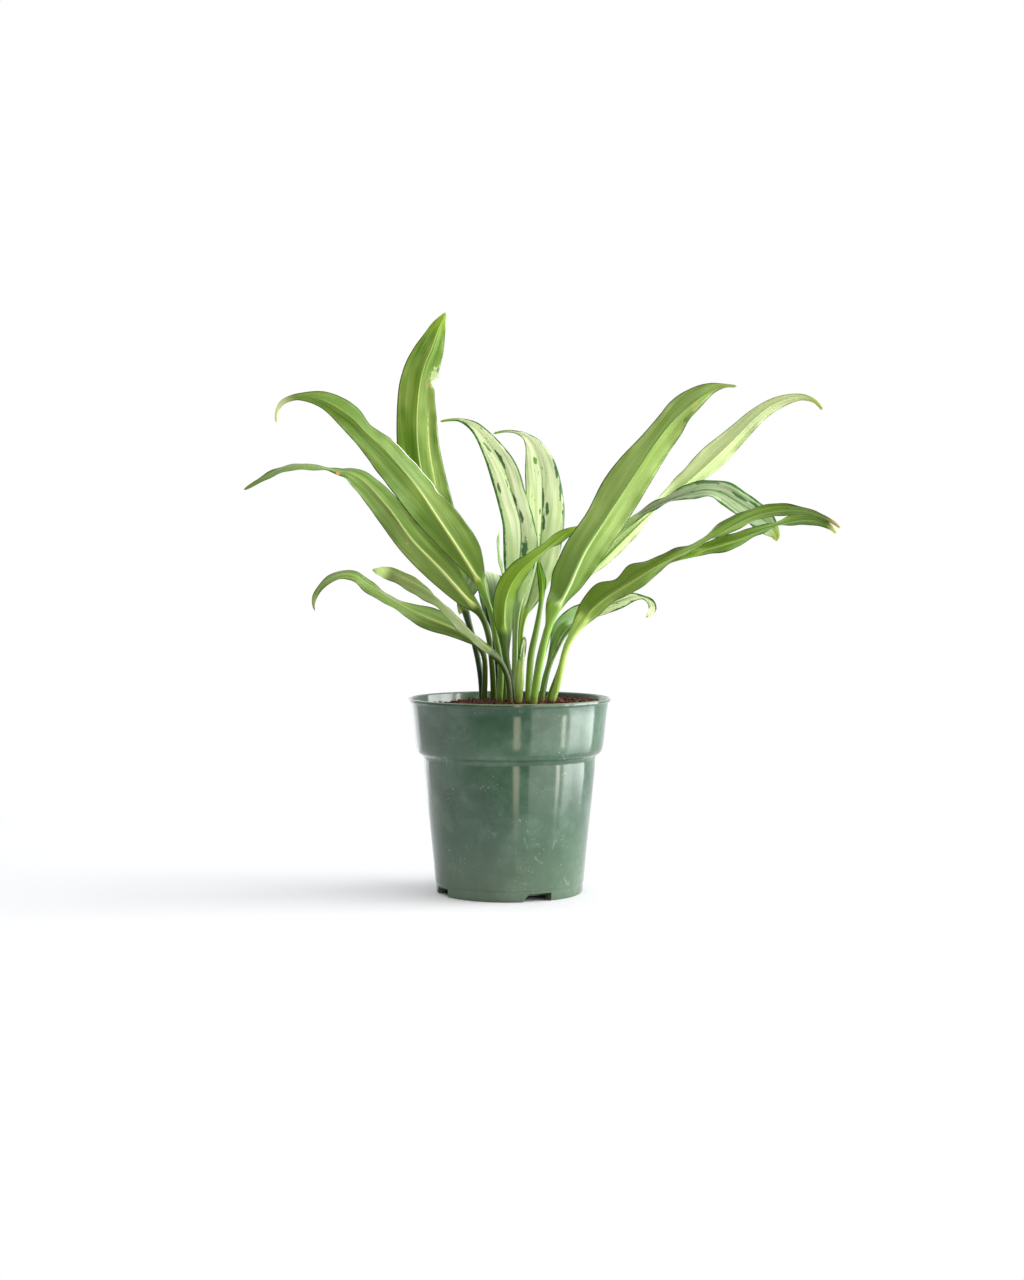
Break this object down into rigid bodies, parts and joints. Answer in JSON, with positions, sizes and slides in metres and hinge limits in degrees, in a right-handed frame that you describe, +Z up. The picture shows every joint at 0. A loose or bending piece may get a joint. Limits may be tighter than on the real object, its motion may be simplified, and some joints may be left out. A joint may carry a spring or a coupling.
{
  "type": "potted chinese evergreen",
  "caption": "Leafy house plant with long narrow waved leaves on thin stalks, some with silvery patterns, standing in the soil of a tapered plastic nursery pot.",
  "frame": {"origin": "on the pot's axis, on the flat underside of the pot where it stands on a surface", "axes": "+Z up, -Y towards the viewer of the front view, +X to the viewer's right"},
  "size_m": [0.3303, 0.1547, 0.3284],
  "materials": {
    "pot_plastic": "satin",
    "coir_soil": "matte",
    "green_leaf": "satin",
    "pale_leaf": "satin",
    "silver_leaf": "satin"
  },
  "bodies": {
    "root": {"pot": "pot_plastic", "soil": "coir_soil", "leaf_back": "green_leaf", "leaf_front": "pale_leaf", "leaf_left_folded": "green_leaf", "leaf_left_high": "green_leaf", "leaf_left_low": "green_leaf", "leaf_left_middle": "green_leaf", "leaf_right_arching": "silver_leaf", "leaf_right_high": "green_leaf", "leaf_right_long": "green_leaf", "leaf_right_low": "silver_leaf", "leaf_right_pale": "pale_leaf", "leaf_right_under": "green_leaf", "leaf_silver_left": "silver_leaf", "leaf_silver_right": "silver_leaf", "leaf_tall": "green_leaf", "shoot_centre": "pale_leaf", "spear_back": "green_leaf", "spear_front": "green_leaf"}
  },
  "joints": []
}
